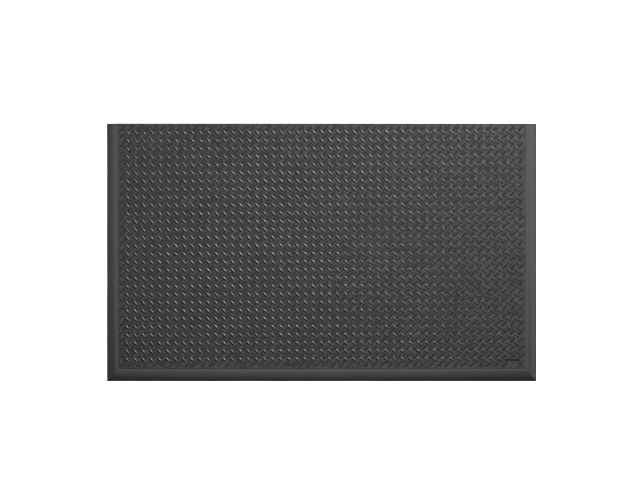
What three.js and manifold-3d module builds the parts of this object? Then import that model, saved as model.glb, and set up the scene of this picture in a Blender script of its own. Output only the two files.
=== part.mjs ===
// An anti-fatigue floor mat: a diamond-tread wearing sheet bonded to a foam core and a grip
// backing, with a moulded ramp welded to its left, right and front edges. The rear edge is plain.
//
// Millimetres, +Z up. The origin is the centre of the underside, on the floor. +X runs along the
// long side, and +Y points to the rear edge, which stands against the bench.

import * as THREE from 'three';
import { mergeVertices } from 'three/addons/utils/BufferGeometryUtils.js';
import Module from 'manifold-3d';

const wasm = await Module();
wasm.setup();

// Driving dimensions: the whole mat, and its ramps.
const MAT_LENGTH = 1524;
const MAT_DEPTH = 914;
const SIDE_RAMP_WIDTH = 42;
const FRONT_RAMP_WIDTH = 45;
const RAMP_INNER_HEIGHT = 13.5;
const TOE_HEIGHT = 2.5;
const TOE_RADIUS = 1;
const CURVE_SEGMENTS = 12;

// Layers of the panel, from the floor up.
const BASE_THICKNESS = 1.5;
const FILM_THICKNESS = 0.25;
const CORE_THICKNESS = 9;
const TREAD_THICKNESS = 1.5;
const LUG_HEIGHT = 1.75;

// The tread's lug pattern: rows and columns at one pitch, each lug in a square LUG_SPAN wide.
const LUG_PITCH = 28.8;
const LUG_SPAN = 18;
const LUG_COLUMNS = 50;
const LUG_ROWS = 30;

// The blank label pad stands in for three lugs at the front right corner.
const PAD_LENGTH = 54;
const PAD_DEPTH = 10;
const PAD_HEIGHT = 0.25;
const PAD_COLUMNS_FROM_CENTRE = 23.5;
const PAD_ROWS_FROM_CENTRE = 14;

// Welds: a bead in a groove along each ramp, and a web between the mitred ramp ends.
const JOINT_GAP = 0.25;
const BEAD_WIDTH = 1;
const BEAD_TOP = 12.5;
const GROOVE_FLOOR = 11.5;
const WEB_THICKNESS = 1;
const WEB_CROWN = 0.25;
const WEB_INSET = 2.5;
const WEB_TOE_INSET = 1;

// Places worked out from the driving dimensions.
const PANEL_LENGTH = MAT_LENGTH - 2 * SIDE_RAMP_WIDTH;
const PANEL_DEPTH = MAT_DEPTH - FRONT_RAMP_WIDTH;
const PANEL_RIGHT = PANEL_LENGTH / 2;
const PANEL_REAR = MAT_DEPTH / 2;
const PANEL_FRONT = PANEL_REAR - PANEL_DEPTH;
const PANEL_CENTRE_Y = (PANEL_REAR + PANEL_FRONT) / 2;
const BASE_TOP = BASE_THICKNESS;
const CORE_BOTTOM = BASE_TOP + FILM_THICKNESS;
const CORE_TOP = CORE_BOTTOM + CORE_THICKNESS;
const TREAD_BOTTOM = CORE_TOP + FILM_THICKNESS;
const TREAD_GROUND = TREAD_BOTTOM + TREAD_THICKNESS;
const MITRE_LENGTH = Math.hypot(SIDE_RAMP_WIDTH, FRONT_RAMP_WIDTH);
const MITRE_ANGLE = Math.atan2(-FRONT_RAMP_WIDTH, SIDE_RAMP_WIDTH);

const wornRubber = new THREE.MeshStandardMaterial({ color: 0x4a4a4a, roughness: 0.55, metalness: 0 });
const smoothRubber = new THREE.MeshStandardMaterial({ color: 0x505050, roughness: 0.4, metalness: 0 });
const weldRubber = new THREE.MeshStandardMaterial({ color: 0x2e2e2e, roughness: 0.5, metalness: 0 });
const backingRubber = new THREE.MeshStandardMaterial({ color: 0x262626, roughness: 0.85, metalness: 0 });
const closedCellFoam = new THREE.MeshStandardMaterial({ color: 0x3a3b3d, roughness: 0.95, metalness: 0 });
const bondFilm = new THREE.MeshStandardMaterial({ color: 0x8c8a80, roughness: 0.35, metalness: 0 });

function piece(name, geometry, material) {
  const mesh = new THREE.Mesh(geometry, material);
  mesh.name = name;
  return mesh;
}

// ---- Joining and cutting closed meshes ----

function toSolid(geometry) {
  const bare = geometry.clone();
  bare.deleteAttribute('normal');
  bare.deleteAttribute('uv');
  const merged = mergeVertices(bare);
  return new wasm.Manifold(new wasm.Mesh({
    numProp: 3,
    vertProperties: new Float32Array(merged.attributes.position.array),
    triVerts: new Uint32Array(merged.index.array),
  }));
}

function toGeometry(solid) {
  const mesh = solid.getMesh();
  const geometry = new THREE.BufferGeometry();
  geometry.setAttribute('position', new THREE.BufferAttribute(mesh.vertProperties, 3));
  geometry.setIndex(new THREE.BufferAttribute(mesh.triVerts, 1));
  const flatShaded = geometry.toNonIndexed();
  flatShaded.computeVertexNormals();
  return flatShaded;
}

// A box by its size, the centre of its plan and the level of its underside.
function slab(length, depth, thickness, x, y, bottom) {
  const box = new THREE.BoxGeometry(length, depth, thickness);
  return box.translate(x, y, bottom + thickness / 2);
}

// ---- The panel's layers ----

function panelLayer(name, bottom, thickness, material) {
  const layer = slab(PANEL_LENGTH, PANEL_DEPTH, thickness, 0, 0, 0);
  const mesh = piece(name, layer, material);
  mesh.position.set(0, PANEL_CENTRE_Y, bottom);
  return mesh;
}

// The wearing sheet. Its lug field is one raised plateau at the height of the lugs' tops, which is
// the surface that shoes touch, with a recess over the label pad.
function treadSheet() {
  const fieldLength = (LUG_COLUMNS - 1) * LUG_PITCH + LUG_SPAN;
  const fieldDepth = (LUG_ROWS - 1) * LUG_PITCH + LUG_SPAN;
  const padX = PAD_COLUMNS_FROM_CENTRE * LUG_PITCH;
  const padY = -PAD_ROWS_FROM_CENTRE * LUG_PITCH;
  const overlap = TREAD_THICKNESS / 2;

  const sheet = slab(PANEL_LENGTH, PANEL_DEPTH, TREAD_THICKNESS, 0, 0, 0);
  const plateau = slab(fieldLength, fieldDepth, LUG_HEIGHT + overlap, 0, 0, overlap);
  const recess = slab(PAD_LENGTH, PAD_DEPTH, LUG_HEIGHT, padX, padY, TREAD_THICKNESS + PAD_HEIGHT);

  const solid = toSolid(sheet).add(toSolid(plateau)).subtract(toSolid(recess));
  const mesh = piece('tread_sheet', toGeometry(solid), wornRubber);
  mesh.position.set(0, PANEL_CENTRE_Y, TREAD_BOTTOM);
  return mesh;
}

// ---- The ramps ----

// Adds a ramp's top to an outline in (distance from the panel, height), from the inner edge out: a
// convex curve, level at its start, that steepens down to a rounded toe and its short upright face.
function addRampTop(shape, width, crown) {
  const steepest = Math.atan2(RAMP_INNER_HEIGHT - TOE_HEIGHT, width / 2);
  const toeStart = Math.PI / 2 - steepest;
  const toeX = width - TOE_RADIUS;
  const toeZ = TOE_HEIGHT + crown - TOE_RADIUS;
  shape.quadraticCurveTo(
    width / 2, RAMP_INNER_HEIGHT + crown,
    toeX + TOE_RADIUS * Math.cos(toeStart), toeZ + TOE_RADIUS * Math.sin(toeStart));
  shape.absarc(toeX, toeZ, TOE_RADIUS, toeStart, 0, true);
  shape.lineTo(width, 0);
}

// A ramp's cross-section, with the weld groove cut into its inner top corner.
function rampSection(width) {
  const grooveSide = BEAD_WIDTH + 2 * JOINT_GAP;
  const shape = new THREE.Shape();
  shape.moveTo(JOINT_GAP, 0);
  shape.lineTo(JOINT_GAP, GROOVE_FLOOR);
  shape.lineTo(grooveSide, GROOVE_FLOOR);
  shape.lineTo(grooveSide, RAMP_INNER_HEIGHT);
  addRampTop(shape, width, 0);
  shape.closePath();
  return shape;
}

// A straight strip of a cross-section: x is the distance from the panel's edge, z is height, and
// the strip runs from y = 0 to y = -run.
function strip(shape, run) {
  const geometry = new THREE.ExtrudeGeometry(shape, {
    depth: run, steps: 1, curveSegments: CURVE_SEGMENTS, bevelEnabled: false,
  });
  return geometry.rotateX(Math.PI / 2);
}

// Mitres a strip's ends to meet a ramp of neighbourWidth: each end is drawn out in proportion to
// the distance from the panel, less a set-back that leaves room for the weld web.
function mitre(geometry, run, width, neighbourWidth, ends) {
  const setBack = (WEB_THICKNESS / 2 + JOINT_GAP) * MITRE_LENGTH / width;
  const position = geometry.attributes.position;
  for (let i = 0; i < position.count; i += 1) {
    const drawnOut = position.getX(i) / width * neighbourWidth - setBack;
    const nearEnd = position.getY(i) > -run / 2;
    if (nearEnd && ends.near) {
      position.setY(i, drawnOut);
    }
    if (!nearEnd && ends.far) {
      position.setY(i, -run - drawnOut);
    }
  }
  return geometry;
}

function sideRamp(name, ends) {
  const section = strip(rampSection(SIDE_RAMP_WIDTH), PANEL_DEPTH);
  const ramp = mitre(section, PANEL_DEPTH, SIDE_RAMP_WIDTH, FRONT_RAMP_WIDTH, ends);
  return piece(name, ramp, smoothRubber);
}

function frontRamp() {
  const section = strip(rampSection(FRONT_RAMP_WIDTH), PANEL_LENGTH);
  const ends = { near: true, far: true };
  const ramp = mitre(section, PANEL_LENGTH, FRONT_RAMP_WIDTH, SIDE_RAMP_WIDTH, ends);
  return piece('front_ramp', ramp, smoothRubber);
}

// ---- The welds ----

// The bead that closes the joint between the panel and a ramp, round on top.
function seamBead(name, run) {
  const radius = BEAD_WIDTH / 2;
  const bottom = GROOVE_FLOOR + JOINT_GAP;
  const shape = new THREE.Shape();
  shape.moveTo(JOINT_GAP, bottom);
  shape.lineTo(JOINT_GAP + BEAD_WIDTH, bottom);
  shape.absarc(JOINT_GAP + radius, BEAD_TOP - radius, radius, 0, Math.PI, false);
  shape.closePath();
  return piece(name, strip(shape, run), weldRubber);
}

// The upright web of weld between two mitred ramp ends, standing slightly proud of the ramps.
function cornerWeld(name) {
  const shape = new THREE.Shape();
  shape.moveTo(WEB_INSET, 0);
  shape.lineTo(WEB_INSET, RAMP_INNER_HEIGHT + WEB_CROWN);
  addRampTop(shape, MITRE_LENGTH - WEB_TOE_INSET, WEB_CROWN);
  shape.closePath();
  const web = strip(shape, WEB_THICKNESS).translate(0, WEB_THICKNESS / 2, 0);
  return piece(name, web, weldRubber);
}

// ---- Assembly ----

function place(mesh, x, y, turn) {
  mesh.position.set(x, y, 0);
  mesh.rotation.z = turn;
  return mesh;
}

const mat = new THREE.Group();

mat.add(
  panelLayer('base_sheet', 0, BASE_THICKNESS, backingRubber),
  panelLayer('base_bond_film', BASE_TOP, FILM_THICKNESS, bondFilm),
  panelLayer('cushion_core', CORE_BOTTOM, CORE_THICKNESS, closedCellFoam),
  panelLayer('tread_bond_film', CORE_TOP, FILM_THICKNESS, bondFilm),
  treadSheet(),
);

mat.add(
  place(sideRamp('right_ramp', { near: false, far: true }), PANEL_RIGHT, PANEL_REAR, 0),
  place(sideRamp('left_ramp', { near: true, far: false }), -PANEL_RIGHT, PANEL_FRONT, Math.PI),
  place(frontRamp(), PANEL_RIGHT, PANEL_FRONT, -Math.PI / 2),
);

mat.add(
  place(seamBead('right_seam_weld', PANEL_DEPTH), PANEL_RIGHT, PANEL_REAR, 0),
  place(seamBead('left_seam_weld', PANEL_DEPTH), -PANEL_RIGHT, PANEL_FRONT, Math.PI),
  place(seamBead('front_seam_weld', PANEL_LENGTH), PANEL_RIGHT, PANEL_FRONT, -Math.PI / 2),
  place(cornerWeld('right_corner_weld'), PANEL_RIGHT, PANEL_FRONT, MITRE_ANGLE),
  place(cornerWeld('left_corner_weld'), -PANEL_RIGHT, PANEL_FRONT, Math.PI - MITRE_ANGLE),
);

export default mat;
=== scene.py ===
"""The looks of an anti-fatigue mat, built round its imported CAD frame.

Metres, +Z up, in the CAD's own frame: +X runs along the long side and +Y points to the plain rear
edge. Each piece stands for one CAD node, and the pieces take their places from the nodes' boxes.
"""

import math
from collections import namedtuple

import bmesh
import bpy
import numpy as np
from mathutils import Matrix, Vector
from mathutils.geometry import delaunay_2d_cdt


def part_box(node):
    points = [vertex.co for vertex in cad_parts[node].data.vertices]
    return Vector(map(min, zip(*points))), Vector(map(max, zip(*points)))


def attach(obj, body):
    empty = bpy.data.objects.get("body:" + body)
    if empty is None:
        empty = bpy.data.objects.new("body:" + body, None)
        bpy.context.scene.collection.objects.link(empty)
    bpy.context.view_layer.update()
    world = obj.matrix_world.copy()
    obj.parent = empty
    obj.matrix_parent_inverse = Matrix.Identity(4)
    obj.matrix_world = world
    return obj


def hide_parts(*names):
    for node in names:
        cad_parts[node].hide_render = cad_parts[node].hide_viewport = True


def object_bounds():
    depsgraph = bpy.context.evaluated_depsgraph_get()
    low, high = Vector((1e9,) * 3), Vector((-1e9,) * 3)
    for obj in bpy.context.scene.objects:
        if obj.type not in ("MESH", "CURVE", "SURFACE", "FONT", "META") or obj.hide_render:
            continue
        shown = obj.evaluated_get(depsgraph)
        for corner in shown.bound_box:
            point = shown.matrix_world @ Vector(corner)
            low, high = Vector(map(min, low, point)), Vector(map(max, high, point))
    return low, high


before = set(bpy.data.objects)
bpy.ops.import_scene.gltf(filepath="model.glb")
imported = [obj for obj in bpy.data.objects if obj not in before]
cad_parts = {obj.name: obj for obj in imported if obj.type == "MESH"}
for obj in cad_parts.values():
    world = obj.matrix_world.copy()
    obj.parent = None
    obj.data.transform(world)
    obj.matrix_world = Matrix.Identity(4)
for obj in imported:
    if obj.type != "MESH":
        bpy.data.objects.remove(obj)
cad_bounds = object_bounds()

MM = 0.001
BODY = "root"
RANDOM = np.random.default_rng(11)

# The tread's lugs: columns and rows of one pitch, leaning alternately to the right and the left.
LUG_COLUMNS = 50
LUG_ROWS = 30
LUG_HEIGHT = 1.75 * MM
LUG_HALF_LENGTH = 13.0 * MM
LUG_HALF_WIDTH = 4.4 * MM
LUG_SIDE_POWER = 3.6
LUG_LEAN = math.radians(45)
# How far lugs differ: shares of length, width and height, and degrees of lean.
LUG_VARIATION = (0.012, 0.03, 0.03)
LUG_LEAN_VARIATION = 0.8
# Each ring of a lug, from its foot up: points round it, and its shares of length, width and height.
LUG_RINGS = ((12, 1.0, 1.0, 0.0), (12, 0.9, 0.68, 0.66), (8, 0.78, 0.36, 0.95), (2, 0.5, 0.1, 1.0))

# The blank label pad takes the place of three lugs at the front right corner.
PAD_COLUMN = 23.5
PAD_ROW = -14
PAD_SIZE = (54 * MM, 9.4 * MM)
PAD_CORNER = 2 * MM
PAD_HEIGHT = 0.3 * MM
# Each ring of the pad, from its foot up: its inset, and its share of the height.
PAD_RINGS = ((0, 0), (0.3 * MM, 0.7), (0.9 * MM, 1))

# The grip squares under the mat.
GRIP_COLUMNS = 60
GRIP_ROWS = 36
GRIP_GAP = 4 * MM
GRIP_DEPTH = 0.5 * MM
GRIP_DRAFT = 0.5 * MM
GRIP_CORNER = 2.5 * MM

# The small bevel round the upper edge of a relief sheet.
TREAD_ARRIS = 0.4 * MM
BASE_ARRIS = 0.3 * MM

# The ramps' cross-section.
RAMP_INNER_ROUND = 0.5 * MM
TOE_HEIGHT = 2.5 * MM
TOE_RADIUS = 1.0 * MM
GROOVE_FLOOR = 11.5 * MM
GROOVE_WIDTH = 1.5 * MM
JOINT_GAP = 0.25 * MM
RAMP_STATION = 12 * MM
RAMP_FOOT_BEVEL = 0.3 * MM
TOE_WAVELENGTH = 350 * MM
TOE_DRIFT = 0.25 * MM
RAMP_CURVE_POINTS = 28
TOE_POINTS = 7
RIM_POINTS = 5
# Grooves under a ramp, at shares of its width. Each is narrower at its roof than at its mouth.
UNDERCUT_SHARES = (0.3, 0.5, 0.7)
UNDERCUT_WIDTH = 2.5 * MM
UNDERCUT_DEPTH = 0.7 * MM
UNDERCUT_TAPER = 0.7

# The welds.
CROWN_POINTS = 9
BEAD_TOP = 12.5 * MM
BEAD_STATION = 4 * MM
BEAD_CLEARANCE = 0.05 * MM
BEAD_WAVELENGTH = 45 * MM
BEAD_LIFT = 0.12 * MM
MITRE_BEAD_WIDTH = 1.5 * MM
MITRE_BEAD_CROWN = 0.3 * MM
MITRE_BEAD_STATIONS = 40
MITRE_BEAD_CLEARANCE = 0.08 * MM
MITRE_BEAD_BOTTOM = 0.2 * MM
MITRE_BEAD_INNER_INSET = 2.2 * MM
MITRE_BEAD_TOE_INSET = 0.8 * MM
MITRE_BEAD_WAVELENGTH = 9 * MM
MITRE_BEAD_LUMP = 0.06 * MM

# Cut edges along the rear.
EDGE_STATION = 3 * MM
EDGE_WAVELENGTH = 60 * MM

# Waves that add up to a wander, as shares of its wavelength.
WANDER_OCTAVES = (1, 1.7, 2.9, 4.3)

# Nearly all of a noise texture's values lie between these.
NOISE_LOW = 0.3
NOISE_HIGH = 0.7

# How many times finer a ramp's grain is across the ramp than along it.
GRAIN_STRETCH = 40

# The studio: the light that the room gives, the tone in which the camera sees it and the floor glows,
# how far the floor reaches each way, and its drop below the mat.
ROOM_LIGHT = 0.02
ROOM_TONE = 0.75
FLOOR_HALF_WIDTH = 20
FLOOR_CLEARANCE = 0.2 * MM

# The lights: metres from the middle of the mat, size across and up in metres, and watts.
StudioLight = namedtuple("StudioLight", "name place size power")
STUDIO_LIGHTS = (
    StudioLight("key_light", (1.65, 2.2, 1.35), (0.9, 0.9), 104),
    StudioLight("overhead_softbox", (0, 0.45, 1.9), (4.6, 3.2), 53),
    StudioLight("front_fill", (-0.1, -1.4, 1.9), (2.2, 1.4), 6),
    StudioLight("right_fill", (2.7, 0.3, 1.5), (2.4, 1.4), 15),
    StudioLight("left_fill", (-2.7, 0.4, 1.5), (2.4, 1.4), 6),
)

# The camera: lens and sensor in millimetres, the width that fills the picture at the height of the
# mat's top, how far the camera stands off the mat's middle, and how many pixels its filter spans.
CAMERA_LENS = 85
CAMERA_SENSOR = 36
PICTURE_WIDTH = 2.268
AIM_OFFSET = (-6 * MM, 44 * MM)
PIXEL_FILTER = 1.0


# ---- Mesh building ----

class MeshBuilder:
    """Gathers blocks of points and faces, and makes one mesh object of them."""

    def __init__(self):
        self.blocks = []
        self.faces = []
        self.count = 0

    def add_points(self, points):
        """Adds rows of x, y, z and returns their numbers."""
        first = self.count
        self.blocks.append(np.asarray(points, float))
        self.count += len(points)
        return np.arange(first, self.count)

    def add_faces(self, faces):
        self.faces.extend(faces)

    def make(self, name, sharp_angle=35, face_out=True):
        """The finished object, smooth except across edges sharper than sharp_angle in degrees."""
        mesh = bpy.data.meshes.new(name)
        mesh.from_pydata(np.concatenate(self.blocks).tolist(), [], self.faces)
        if face_out:
            work = bmesh.new()
            work.from_mesh(mesh)
            bmesh.ops.recalc_face_normals(work, faces=work.faces)
            work.to_mesh(mesh)
            work.free()
        mesh.polygons.foreach_set("use_smooth", [True] * len(mesh.polygons))
        mesh.set_sharp_from_angle(angle=math.radians(sharp_angle))
        piece = bpy.data.objects.new(name, mesh)
        bpy.context.scene.collection.objects.link(piece)
        return piece


def stitch(outer, inner):
    """Faces between two rings of point numbers, both counter-clockwise, walking round them together."""
    faces = []
    i = j = 0
    while i < len(outer) or j < len(inner):
        a, b = outer[i % len(outer)], inner[j % len(inner)]
        next_a, next_b = outer[(i + 1) % len(outer)], inner[(j + 1) % len(inner)]
        if len(outer) == len(inner):
            faces.append((a, next_a, next_b, b))
            i += 1
            j += 1
        elif (i + 0.5) / len(outer) < (j + 0.5) / len(inner):
            faces.append((a, next_a, b))
            i += 1
        else:
            faces.append((a, next_b, b))
            j += 1
    return faces


def loft(sections):
    """A closed tube through a row of equal closed sections, capped at both ends."""
    builder = MeshBuilder()
    rings = [builder.add_points(section) for section in sections]
    for near, far in zip(rings, rings[1:]):
        sides = np.stack([near, far, np.roll(far, -1), np.roll(near, -1)], axis=1)
        builder.add_faces(sides.tolist())
    builder.add_faces([rings[0].tolist(), rings[-1][::-1].tolist()])
    return builder


def wander(places, wavelength, amplitude):
    """A smooth random wave over places along a length."""
    wave = np.zeros(len(places))
    for octave in WANDER_OCTAVES:
        phase = RANDOM.uniform(0, 2 * np.pi)
        wave += np.sin(2 * np.pi * octave * np.asarray(places) / wavelength + phase) / octave
    return amplitude * wave / 2


def arc(centre, radius, start, end, count):
    """Points along a flat arc, in a plan or a section, angles in degrees."""
    turn = np.radians(np.linspace(start, end, count))
    return np.stack([centre[0] + radius * np.cos(turn), centre[1] + radius * np.sin(turn)], axis=1)


def weigh_normals(piece):
    """Weights normals by face area, so that flat ground stays flat right up to the relief."""
    piece.modifiers.new("weighted_normals", "WEIGHTED_NORMAL").keep_sharp = True


def stand_for(piece, node, material):
    """Gives a piece its material, hangs it on the body, and hides the CAD node's part that it stands for."""
    piece.data.materials.append(material)
    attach(piece, BODY)
    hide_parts(node)


# ---- Procedural materials ----

class Look:
    """A procedural material under construction: a Principled shader, and short ways to add nodes."""

    def __init__(self, name):
        self.material = bpy.data.materials.new(name)
        self.material.use_nodes = True
        self.tree = self.material.node_tree
        self.shader = self.tree.nodes["Principled BSDF"]
        self.place = self.add("ShaderNodeTexCoord").outputs["Object"]

    def add(self, kind, inputs=None, **settings):
        node = self.tree.nodes.new(kind)
        for name, value in settings.items():
            setattr(node, name, value)
        for name, value in (inputs or {}).items():
            self.feed(node.inputs[name], value)
        return node

    def feed(self, socket, value):
        if isinstance(value, bpy.types.NodeSocket):
            self.tree.links.new(value, socket)
        else:
            socket.default_value = value

    def stretched(self, stretch):
        """Object coordinates scaled by (x, y, z)."""
        return self.add("ShaderNodeMapping", {"Vector": self.place, "Scale": stretch}).outputs[0]

    def noise(self, scale, detail, stretch=None):
        vector = self.stretched(stretch) if stretch else self.place
        return self.add("ShaderNodeTexNoise", {"Vector": vector, "Scale": scale, "Detail": detail}).outputs[0]

    def cells(self, scale):
        """Distance from the nearest cell centre: dark pits in a lighter web."""
        return self.add("ShaderNodeTexVoronoi", {"Vector": self.place, "Scale": scale}).outputs[0]

    def height(self):
        return self.add("ShaderNodeSeparateXYZ", {"Vector": self.place}).outputs["Z"]

    def patch(self, centre, size):
        """One inside a plan rectangle, and nothing outside it."""
        place = self.add("ShaderNodeSeparateXYZ", {"Vector": self.place})
        inside = 1.0
        for axis, middle, length in zip("XY", centre, size):
            near = self.calculate("COMPARE", place.outputs[axis], middle, length / 2)
            inside = self.product(inside, near)
        return inside

    def spread(self, value, from_low, from_high, to_low, to_high):
        return self.add("ShaderNodeMapRange", {
            "Value": value, "From Min": from_low, "From Max": from_high,
            "To Min": to_low, "To Max": to_high}).outputs[0]

    def vary(self, noise, low, high):
        """A noise spread out to run from low to high."""
        return self.spread(noise, NOISE_LOW, NOISE_HIGH, low, high)

    def calculate(self, operation, *values):
        node = self.add("ShaderNodeMath", operation=operation)
        for socket, value in zip(node.inputs, values):
            self.feed(socket, value)
        return node.outputs[0]

    def sum(self, *values):
        total = values[0]
        for value in values[1:]:
            total = self.calculate("ADD", total, value)
        return total

    def product(self, a, b):
        return self.calculate("MULTIPLY", a, b)

    def tinted(self, colour, amount):
        """A colour scaled by an amount."""
        node = self.add("ShaderNodeVectorMath", operation="SCALE")
        node.inputs[0].default_value = colour
        self.feed(node.inputs["Scale"], amount)
        return node.outputs[0]

    def bump(self, height, distance, strength, under=None):
        inputs = {"Height": height, "Distance": distance, "Strength": strength}
        if under:
            inputs["Normal"] = under
        return self.add("ShaderNodeBump", inputs).outputs[0]

    def shine(self, amount):
        """How strongly the surface mirrors: 0.5 for ordinary rubber."""
        self.feed(self.shader.inputs["Specular IOR Level"], amount)

    def finish(self, colour, roughness, normal):
        self.feed(self.shader.inputs["Base Color"], colour)
        self.feed(self.shader.inputs["Roughness"], roughness)
        self.feed(self.shader.inputs["Normal"], normal)
        return self.material


def tread_rubber(ground, top, pad_centre):
    """Grained rubber, dusty between the lugs and rubbed smooth on them, with painted shade darkening the
    lugs, and a matt dark label pad.
    """
    look = Look("tread_rubber")
    lug = look.spread(look.height(), ground, ground + 0.35 * (top - ground), 0.0, 1.0)

    raised = look.spread(look.height(), ground, ground + PAD_HEIGHT, 0.0, 1.0)
    unworn = look.product(raised, look.spread(look.noise(260, 3), 0.35, 0.65, 0.6, 1.0))
    pad = look.product(look.patch(pad_centre, PAD_SIZE), unworn)

    dust = look.noise(110, 4)
    wear = look.vary(look.noise(7, 4), 0.9, 1.1)
    specks = look.spread(look.noise(4200, 1), 0.35, 0.65, -0.002, 0.002)
    # Painted shade: the lugs are coloured darker than the ground, which deepens their shaded flanks; the
    # ground's lighter tone is dust.
    rubber = look.sum(look.spread(lug, 0, 1, look.vary(dust, 0.01, 0.026), 0.006), specks)
    shade = look.product(look.product(rubber, wear), look.spread(pad, 0, 1, 1.0, 0.4))

    unevenness = look.vary(look.noise(160, 3), -0.06, 0.06)
    roughness = look.sum(look.spread(lug, 0, 1, 0.62, 0.3), unevenness, look.product(pad, 0.25))
    shine = look.spread(lug, 0, 1, look.vary(dust, 0.3, 0.7), 0.5)
    look.shine(look.product(shine, look.spread(pad, 0, 1, 1.0, 0.45)))
    return look.finish(shade, roughness, look.bump(look.noise(1300, 3), 0.12 * MM, 0.5))


def ramp_rubber(name, stretch):
    """Smooth moulded rubber, duller towards its toe, where painted shade also darkens it.

    Its grain is drawn out along the ramp, and is too fine to see as lines.
    """
    look = Look(name)
    mottle = look.vary(look.noise(9, 4), 0.95, 1.05)
    grain = look.noise(900, 2, stretch)
    scuffs_and_shade_patches = look.vary(look.noise(220, 4), 0.6, 1.0)
    # Painted shade: towards the toe the colour darkens in patches; the toe is also duller and rougher there.
    toe = look.product(look.spread(look.height(), TOE_HEIGHT, 9 * MM, 1.0, 0.0), scuffs_and_shade_patches)
    shade = look.spread(toe, 0, 1, 0.026, 0.019)
    look.shine(look.spread(toe, 0, 1, 0.5, 0.44))
    roughness = look.sum(0.3, look.vary(grain, -0.04, 0.04), look.product(toe, 0.1))
    skin = look.bump(look.noise(2600, 2), 0.03 * MM, 0.5)
    return look.finish(look.product(shade, mottle), roughness, look.bump(grain, 0.03 * MM, 0.5, skin))


def weld_rubber():
    """Dark satin filler, rippled where it was drawn along the joint."""
    look = Look("weld_rubber")
    ripple = look.noise(500, 3)
    shade = look.vary(look.noise(60, 3), 0.01, 0.018)
    roughness = look.vary(ripple, 0.5, 0.75)
    return look.finish(shade, roughness, look.bump(ripple, 0.3 * MM, 0.6))


def backing_rubber():
    """Black matte backing with a pebbled skin and grey dust in its grooves."""
    look = Look("backing_rubber")
    groove = look.spread(look.height(), 0.1 * MM, GRIP_DEPTH, 0.0, 1.0)
    dust = look.product(groove, look.spread(look.noise(35, 4), 0.4, 0.7, 0.0, 1.0))
    shade = look.sum(look.vary(look.noise(12, 4), 0.018, 0.026), look.product(dust, 0.02))
    pebbles = look.cells(700)
    roughness = look.spread(pebbles, 0, 0.6, 0.7, 0.9)
    return look.finish(shade, roughness, look.bump(pebbles, 0.15 * MM, 0.6))


def core_foam():
    """Closed-cell foam: fine cut cells of uneven size, with painted shade in their pits."""
    look = Look("core_foam")
    fine, coarse = look.cells(1500), look.cells(620)
    open_cells = look.sum(look.product(fine, 0.6), look.product(coarse, 0.4))
    mottle = look.vary(look.noise(40, 3), 0.9, 1.1)
    # Painted shade: each cell's pit is coloured darker, on top of its bump.
    amount = look.product(look.spread(open_cells, 0.1, 0.6, 0.7, 1.25), mottle)
    colour = look.tinted((0.045, 0.046, 0.049), amount)
    return look.finish(colour, 0.92, look.bump(open_cells, 0.5 * MM, 0.8))


def bond_film(name):
    """Set adhesive, satin and slightly amber, cloudy along its length."""
    look = Look(name)
    amount = look.vary(look.noise(120, 4), 0.75, 1.2)
    colour = look.tinted((0.16, 0.15, 0.125), amount)
    roughness = look.vary(look.noise(300, 2), 0.3, 0.45)
    return look.finish(colour, roughness, look.bump(look.noise(800, 2), 0.1 * MM, 0.5))


def floor_paint():
    """A plain pale studio floor with a very faint tooth, and a glow of its own."""
    look = Look("studio_floor")
    shade = look.vary(look.noise(3, 3), 0.6, 0.62)
    look.feed(look.shader.inputs["Emission Color"], (1, 1, 1, 1))
    look.feed(look.shader.inputs["Emission Strength"], ROOM_TONE)
    return look.finish(shade, 0.7, look.bump(look.noise(900, 2), 0.05 * MM, 0.1))


# ---- Relief: islands standing on a flat ground ----

def spindle_ring(count, half_length, half_width, height):
    """Points round a spindle: long sides that draw in to a tip at each end of the x axis."""
    turn = 2 * np.pi * np.arange(count) / count
    reach = half_width * (1 - np.abs(np.cos(turn))**LUG_SIDE_POWER)
    y = np.where(np.sin(turn) < 0, -reach, reach)
    return np.stack([half_length * np.cos(turn), y, np.full(count, height)], axis=1)


def rounded_ring(length, width, corner, height, steps):
    """Points round a rectangle with round corners, centred on the origin."""
    quarters = []
    for quarter, (side_x, side_y) in enumerate(((1, 1), (-1, 1), (-1, -1), (1, -1))):
        centre = (side_x * (length / 2 - corner), side_y * (width / 2 - corner))
        quarters.append(arc(centre, corner, 90 * quarter, 90 * (quarter + 1), steps + 1))
    outline = np.concatenate(quarters)
    return np.column_stack([outline, np.full(len(outline), height)])


def turned(points, angle):
    """Points turned about the z axis."""
    x, y, z = points.T
    c, s = math.cos(angle), math.sin(angle)
    return np.stack([c * x - s * y, s * x + c * y, z], axis=1)


def island_faces(rings):
    """Faces of one island whose rings, from its foot up, are numbered one after the other."""
    starts = np.cumsum([0] + [len(ring) for ring in rings])
    numbers = [list(range(start, end)) for start, end in zip(starts, starts[1:])]
    faces = []
    for outer, inner in zip(numbers, numbers[1:]):
        faces.extend(stitch(outer, inner))
    if len(numbers[-1]) > 2:
        faces.append(tuple(numbers[-1]))
    return faces


def relief_sheet(low, high, thickness, islands, arris):
    """A sheet over the plan box from low to high, whose upper face at z = 0 carries the islands.

    Each island is (rings, faces) and its first ring stands on the ground.
    """
    builder = MeshBuilder()
    loops = []
    for rings, faces in islands:
        numbers = builder.add_points(np.concatenate(rings))
        builder.add_faces([[numbers[0] + k for k in face] for face in faces])
        loops.append(numbers[:len(rings[0])])

    corners = (
        (low.x, low.y, 1, 1), (high.x, low.y, -1, 1),
        (high.x, high.y, -1, -1), (low.x, high.y, 1, -1),
    )
    rims = []
    for inset, z in ((arris, 0), (0, -arris), (0, -thickness)):
        rims.append(builder.add_points([(x + inset * dx, y + inset * dy, z) for x, y, dx, dy in corners]))
    builder.add_faces(stitch(rims[1], rims[0]) + stitch(rims[2], rims[1]) + [rims[2][::-1].tolist()])
    loops.append(rims[0])

    add_ground(builder, loops)
    return builder


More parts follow.
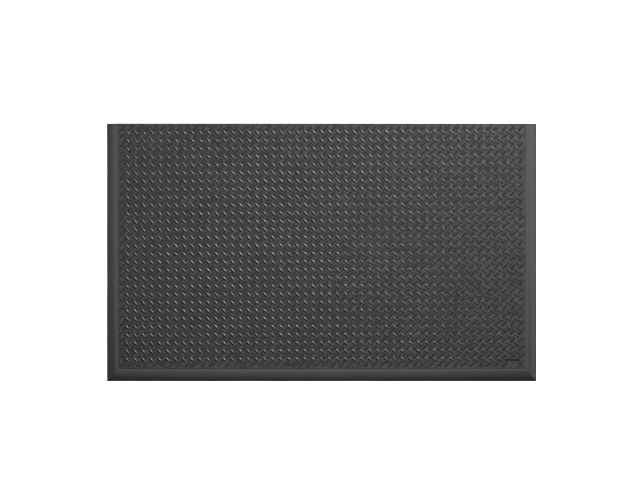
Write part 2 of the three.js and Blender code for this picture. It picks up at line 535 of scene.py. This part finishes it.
def add_ground(builder, loops):
    """Triangles that fill the plane between the loops of point numbers: feet, and the outer rim last."""
    numbers = np.concatenate(loops)
    loop_of = np.repeat(np.arange(len(loops)), [len(loop) for loop in loops])
    following = np.arange(len(numbers)) + 1
    ends = np.cumsum([len(loop) for loop in loops])
    following[ends - 1] = ends - [len(loop) for loop in loops]
    edges = np.stack([np.arange(len(numbers)), following], axis=1).tolist()
    plan = [Vector(point) for point in np.concatenate(builder.blocks)[numbers, :2]]
    triangles = np.array(delaunay_2d_cdt(plan, edges, [], 1, 1e-9)[2])
    owners = loop_of[triangles]
    under_island = (owners[:, 0] == owners[:, 1]) & (owners[:, 1] == owners[:, 2])
    builder.add_faces(numbers[triangles[~under_island]].tolist())


# ---- The tread sheet ----

def lug_places(pitch, centre):
    """(x, y, lean) of every lug: one leaning right at each column and row, one leaning left between."""
    columns = np.arange(LUG_COLUMNS) - (LUG_COLUMNS - 1) / 2
    rows = np.arange(LUG_ROWS) - (LUG_ROWS - 1) / 2
    places = []
    for row in rows:
        for column in columns:
            if not (column == PAD_COLUMN and row == rows[0]):
                places.append((centre.x + column * pitch, centre.y + row * pitch, LUG_LEAN))
    for row in rows[:-1] + 0.5:
        for column in columns[:-1] + 0.5:
            if not (abs(column - PAD_COLUMN) < 1 and row == PAD_ROW):
                places.append((centre.x + column * pitch, centre.y + row * pitch, -LUG_LEAN))
    return places


def lug_rings(x, y, lean):
    """One lug's rings. Each lug differs a little, as moulded rubber does."""
    length, width, height = 1 + RANDOM.uniform(-1, 1, 3) * LUG_VARIATION
    lean += math.radians(RANDOM.uniform(-LUG_LEAN_VARIATION, LUG_LEAN_VARIATION))
    rings = []
    for count, along, across, up in LUG_RINGS:
        half_length = LUG_HALF_LENGTH * along * length
        half_width = LUG_HALF_WIDTH * across * width
        ring = spindle_ring(count, half_length, half_width, LUG_HEIGHT * min(1, height) * up)
        rings.append(turned(ring, lean) + (x, y, 0))
    return rings


def pad_rings(x, y):
    """The blank label pad: a low smooth plaque with a rounded rim."""
    length, width = PAD_SIZE
    rings = []
    for inset, up in PAD_RINGS:
        inner_size = (length - 2 * inset, width - 2 * inset)
        ring = rounded_ring(*inner_size, PAD_CORNER - inset, PAD_HEIGHT * up, steps=4)
        rings.append(ring + (x, y, 0))
    return rings


def tread_sheet():
    low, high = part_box("tread_sheet")
    centre = (low + high) / 2
    pitch = (high.x - low.x) / LUG_COLUMNS
    ground = high.z - LUG_HEIGHT

    lugs = [lug_rings(*place) for place in lug_places(pitch, centre)]
    faces = island_faces(lugs[0])
    pad_centre = (centre.x + PAD_COLUMN * pitch, centre.y + PAD_ROW * pitch)
    pad = pad_rings(*pad_centre)
    islands = [(rings, faces) for rings in lugs] + [(pad, island_faces(pad))]

    sheet = relief_sheet(low, high, ground - low.z, islands, TREAD_ARRIS)
    piece = sheet.make("tread_sheet_moulded", sharp_angle=27, face_out=False)
    piece.data.transform(Matrix.Translation((0, 0, ground)))
    weigh_normals(piece)
    stand_for(piece, "tread_sheet", tread_rubber(ground, high.z, pad_centre))


# ---- The layers under the tread ----

def base_sheet():
    """The grip backing: squares that stand on the floor, with shallow grooves between them."""
    low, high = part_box("base_sheet")
    pitch_x = (high.x - low.x) / GRIP_COLUMNS
    pitch_y = (high.y - low.y) / GRIP_ROWS
    square = []
    for inset, height in ((0, 0), (GRIP_DRAFT, GRIP_DEPTH)):
        shrink = GRIP_GAP + 2 * inset
        square.append(rounded_ring(pitch_x - shrink, pitch_y - shrink, GRIP_CORNER, height, steps=2))
    faces = island_faces(square)
    islands = []
    for column in range(GRIP_COLUMNS):
        for row in range(GRIP_ROWS):
            place = (low.x + (column + 0.5) * pitch_x, low.y + (row + 0.5) * pitch_y, 0)
            islands.append(([ring + place for ring in square], faces))
    sheet = relief_sheet(low, high, high.z - low.z - GRIP_DEPTH, islands, BASE_ARRIS)
    piece = sheet.make("base_sheet_grip", sharp_angle=60, face_out=False)
    piece.data.transform(Matrix.Diagonal((1, 1, -1, 1)))
    piece.data.flip_normals()
    piece.data.transform(Matrix.Translation((0, 0, low.z + GRIP_DEPTH)))
    weigh_normals(piece)
    stand_for(piece, "base_sheet", backing_rubber())


def cut_layer(node, name, rows, hollow, roughness, overhang, material):
    """A flat layer whose rear face is a cut edge: hollowed, rough, and standing out by overhang."""
    low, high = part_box(node)
    stations = np.linspace(low.x, high.x, round((high.x - low.x) / EDGE_STATION) + 1)
    shares = np.linspace(1, 0, rows + 1)
    drift = [wander(stations, EDGE_WAVELENGTH, roughness) for _ in shares]
    sections = []
    for k, x in enumerate(stations):
        edge = []
        for share, wave in zip(shares, drift):
            bow = hollow * 4 * share * (1 - share)
            edge.append((x, high.y + overhang - bow + wave[k], low.z + share * (high.z - low.z)))
        sections.append([(x, low.y, low.z), (x, low.y, high.z)] + edge)
    piece = loft(sections).make(name)
    stand_for(piece, node, material)


# ---- Ramps and welds ----

Edge = namedtuple("Edge", "side start out along run width neighbour_width mitred_start mitred_end")


def ramp_edges():
    """The three sides of the panel that carry a ramp."""
    low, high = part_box("cushion_core")
    side_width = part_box("right_ramp")[1].x - high.x
    front_width = low.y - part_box("front_ramp")[0].y
    depth, length = high.y - low.y, high.x - low.x
    return (
        Edge("right", (high.x, high.y), (1, 0), (0, -1), depth, side_width, front_width, False, True),
        Edge("left", (low.x, low.y), (-1, 0), (0, 1), depth, side_width, front_width, True, False),
        Edge("front", (high.x, low.y), (0, -1), (-1, 0), length, front_width, side_width, True, True),
    )


def on_edge(edge, distance, along, height):
    """Rows of x, y, z from the distance out of the panel, the way along its edge, and the height."""
    distance, along, height = np.broadcast_arrays(distance, along, height)
    x = edge.start[0] + edge.out[0] * distance + edge.along[0] * along
    y = edge.start[1] + edge.out[1] * distance + edge.along[1] * along
    return np.stack([x, y, height], axis=1)


def ramp_top(width, inner_height):
    """(distance, height) over a ramp: a shallow convex curve that steepens to a rounded toe."""
    fall = math.atan2(inner_height - TOE_HEIGHT, width / 2)
    toe_centre = (width - TOE_RADIUS, TOE_HEIGHT - TOE_RADIUS)
    toe = arc(toe_centre, TOE_RADIUS, 90 - math.degrees(fall), 0, TOE_POINTS)
    t = np.linspace(0, 1, RAMP_CURVE_POINTS, endpoint=False)[:, None]
    start = np.array([GROOVE_WIDTH + RAMP_INNER_ROUND, inner_height])
    shoulder = np.array([width / 2, inner_height])
    curve = (1 - t)**2 * start + 2 * t * (1 - t) * shoulder + t**2 * toe[0]
    return np.concatenate([curve, toe])


def ramp_outline(width, inner_height):
    """A ramp's closed cross-section as (distance, height), from the foot of its inner wall."""
    rim_centre = (GROOVE_WIDTH + RAMP_INNER_ROUND, inner_height - RAMP_INNER_ROUND)
    rim = arc(rim_centre, RAMP_INNER_ROUND, 180, 100, RIM_POINTS)
    underside = [(width, RAMP_FOOT_BEVEL), (width - RAMP_FOOT_BEVEL, 0)]
    roof = UNDERCUT_TAPER
    for share in reversed(UNDERCUT_SHARES):
        for offset, height in ((1, 0), (roof, UNDERCUT_DEPTH), (-roof, UNDERCUT_DEPTH), (-1, 0)):
            underside.append((share * width + offset * UNDERCUT_WIDTH / 2, height))
    wall = [(JOINT_GAP, 0), (JOINT_GAP, GROOVE_FLOOR), (GROOVE_WIDTH, GROOVE_FLOOR)]
    return np.concatenate([wall, rim, ramp_top(width, inner_height), underside])


def mitre_reach(edge, distance):
    """How far a mitred end is drawn out past the panel's corner, at a distance from the panel."""
    mitre_length = math.hypot(edge.width, edge.neighbour_width)
    set_back = MITRE_BEAD_WIDTH / 2 * mitre_length / edge.width
    return distance / edge.width * edge.neighbour_width - set_back


def ramp(edge):
    node = edge.side + "_ramp"
    inner_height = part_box(node)[1].z
    distance, height = ramp_outline(edge.width, inner_height).T
    stations = np.linspace(0, edge.run, round(edge.run / RAMP_STATION) + 1)
    toe_drift = wander(stations, TOE_WAVELENGTH, TOE_DRIFT)
    sections = []
    for k, station in enumerate(stations):
        reach = np.zeros(len(distance))
        if k == 0 and edge.mitred_start:
            reach = -mitre_reach(edge, distance)
        if k == len(stations) - 1 and edge.mitred_end:
            reach = mitre_reach(edge, distance)
        drifted = distance + toe_drift[k] * (distance / edge.width)**2
        sections.append(on_edge(edge, drifted, station + reach, height))
    drawn = tuple(GRAIN_STRETCH if step == 0 else 1 for step in edge.along)
    material = ramp_rubber(edge.side + "_ramp_rubber", (*drawn, GRAIN_STRETCH))
    stand_for(loft(sections).make(edge.side + "_ramp_moulded"), node, material)


def seam_bead(edge, material):
    """The filler in the groove between the panel and a ramp, sagging and swelling a little."""
    stations = np.linspace(0, edge.run, round(edge.run / BEAD_STATION) + 1)
    lift = wander(stations, BEAD_WAVELENGTH, BEAD_LIFT)
    middle = GROOVE_WIDTH / 2
    half = middle - BEAD_CLEARANCE
    bottom = GROOVE_FLOOR + BEAD_CLEARANCE
    sections = []
    for station, rise in zip(stations, lift):
        crown = arc((middle, BEAD_TOP - half + rise), half, 0, 180, CROWN_POINTS)
        outline = np.concatenate([[(middle + half, bottom)], crown, [(middle - half, bottom)]])
        distance, height = outline.T
        sections.append(on_edge(edge, distance, station, height))
    piece = loft(sections).make(edge.side + "_seam_bead")
    stand_for(piece, edge.side + "_seam_weld", material)


def corner_bead(edge, at_end, side, material):
    """The filler between two mitred ramp ends, with a low crown that follows the ramps down."""
    node = side + "_corner_weld"
    reach = edge.run if at_end else 0
    corner = np.array(edge.start) + np.array(edge.along) * reach
    sideways = np.array(edge.along) * (1 if at_end else -1)
    direction = np.array(edge.out) * edge.width + sideways * edge.neighbour_width
    length = np.linalg.norm(direction)
    direction = direction / length
    across = np.array([-direction[1], direction[0]])

    top = ramp_top(edge.width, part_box(edge.side + "_ramp")[1].z)
    stations = np.linspace(MITRE_BEAD_INNER_INSET, length - MITRE_BEAD_TOE_INSET, MITRE_BEAD_STATIONS)
    heights = np.interp(stations / length * edge.width, top[:, 0], top[:, 1])
    lumps = wander(stations, MITRE_BEAD_WAVELENGTH, MITRE_BEAD_LUMP)
    half = MITRE_BEAD_WIDTH / 2 - MITRE_BEAD_CLEARANCE
    sections = []
    for station, height, lump in zip(stations, heights, lumps):
        crown = [(half * math.cos(turn), height + (MITRE_BEAD_CROWN + lump) * math.sin(turn))
                 for turn in np.linspace(0, math.pi, CROWN_POINTS)]
        outline = np.array([(half, MITRE_BEAD_BOTTOM)] + crown + [(-half, MITRE_BEAD_BOTTOM)])
        plan = corner + direction * station + np.outer(outline[:, 0], across)
        sections.append(np.column_stack([plan, outline[:, 1]]))
    stand_for(loft(sections).make(side + "_corner_bead"), node, material)


# ---- Floor, light and camera ----

def studio_floor():
    mesh = bpy.data.meshes.new("studio_floor")
    half = FLOOR_HALF_WIDTH
    corners = [(-half, -half, 0), (half, -half, 0), (half, half, 0), (-half, half, 0)]
    mesh.from_pydata(corners, [], [(0, 1, 2, 3)])
    floor = bpy.data.objects.new("studio_floor", mesh)
    floor.data.materials.append(floor_paint())
    floor.location.z = cad_bounds[0].z - FLOOR_CLEARANCE
    bpy.context.scene.collection.objects.link(floor)


def area_light(name, place, size, power):
    """A soft light of size (across, up) that faces the middle of the mat, unseen by the camera."""
    data = bpy.data.lights.new(name, "AREA")
    data.shape = "ELLIPSE"
    data.size, data.size_y = size
    data.energy = power
    light = bpy.data.objects.new(name, data)
    light.location = place
    light.rotation_euler = (-Vector(place)).to_track_quat("-Z", "Y").to_euler()
    light.visible_camera = False
    bpy.context.scene.collection.objects.link(light)


def studio_lights():
    """A low key light behind the right end, a broad overhead softbox, and fills in front and at both ends."""
    for light in STUDIO_LIGHTS:
        area_light(*light)


def studio_room():
    """A dim room, which the camera sees in the same tone as the floor's own glow."""
    world = bpy.data.worlds.new("studio_room")
    world.use_nodes = True
    bpy.context.scene.world = world
    nodes, links = world.node_tree.nodes, world.node_tree.links
    rays = nodes.new("ShaderNodeLightPath")
    strength = nodes.new("ShaderNodeMapRange")
    strength.inputs["To Min"].default_value = ROOM_LIGHT
    strength.inputs["To Max"].default_value = ROOM_TONE
    links.new(rays.outputs["Is Camera Ray"], strength.inputs["Value"])
    links.new(strength.outputs[0], nodes["Background"].inputs["Strength"])
    nodes["Background"].inputs["Color"].default_value = (1, 1, 1, 1)


def overhead_camera():
    """Straight down on the mat, which stands a little below the picture's middle."""
    low, high = cad_bounds
    data = bpy.data.cameras.new("overhead_camera")
    data.lens = CAMERA_LENS
    data.sensor_width = CAMERA_SENSOR
    distance = PICTURE_WIDTH * CAMERA_LENS / CAMERA_SENSOR
    camera = bpy.data.objects.new("overhead_camera", data)
    centre = (low + high) / 2
    camera.location = (centre.x + AIM_OFFSET[0], centre.y + AIM_OFFSET[1], high.z + distance)
    bpy.context.scene.collection.objects.link(camera)
    bpy.context.scene.camera = camera


# ---- The mat ----

def build_mat():
    tread_sheet()
    base_sheet()
    cut_layer("cushion_core", "cushion_core_foam", rows=6, hollow=0.35 * MM, roughness=0.12 * MM,
              overhang=0, material=core_foam())
    for node in ("tread_bond_film", "base_bond_film"):
        cut_layer(node, node + "_layer", rows=1, hollow=0, roughness=0.1 * MM,
                  overhang=0.15 * MM, material=bond_film(node))
    weld = weld_rubber()
    edges = ramp_edges()
    for edge in edges:
        ramp(edge)
        seam_bead(edge, weld)
    front = edges[2]
    corner_bead(front, False, "right", weld)
    corner_bead(front, True, "left", weld)


build_mat()
studio_floor()
studio_room()
studio_lights()
overhead_camera()
bpy.context.scene.view_settings.view_transform = "Standard"
bpy.context.scene.cycles.filter_width = PIXEL_FILTER
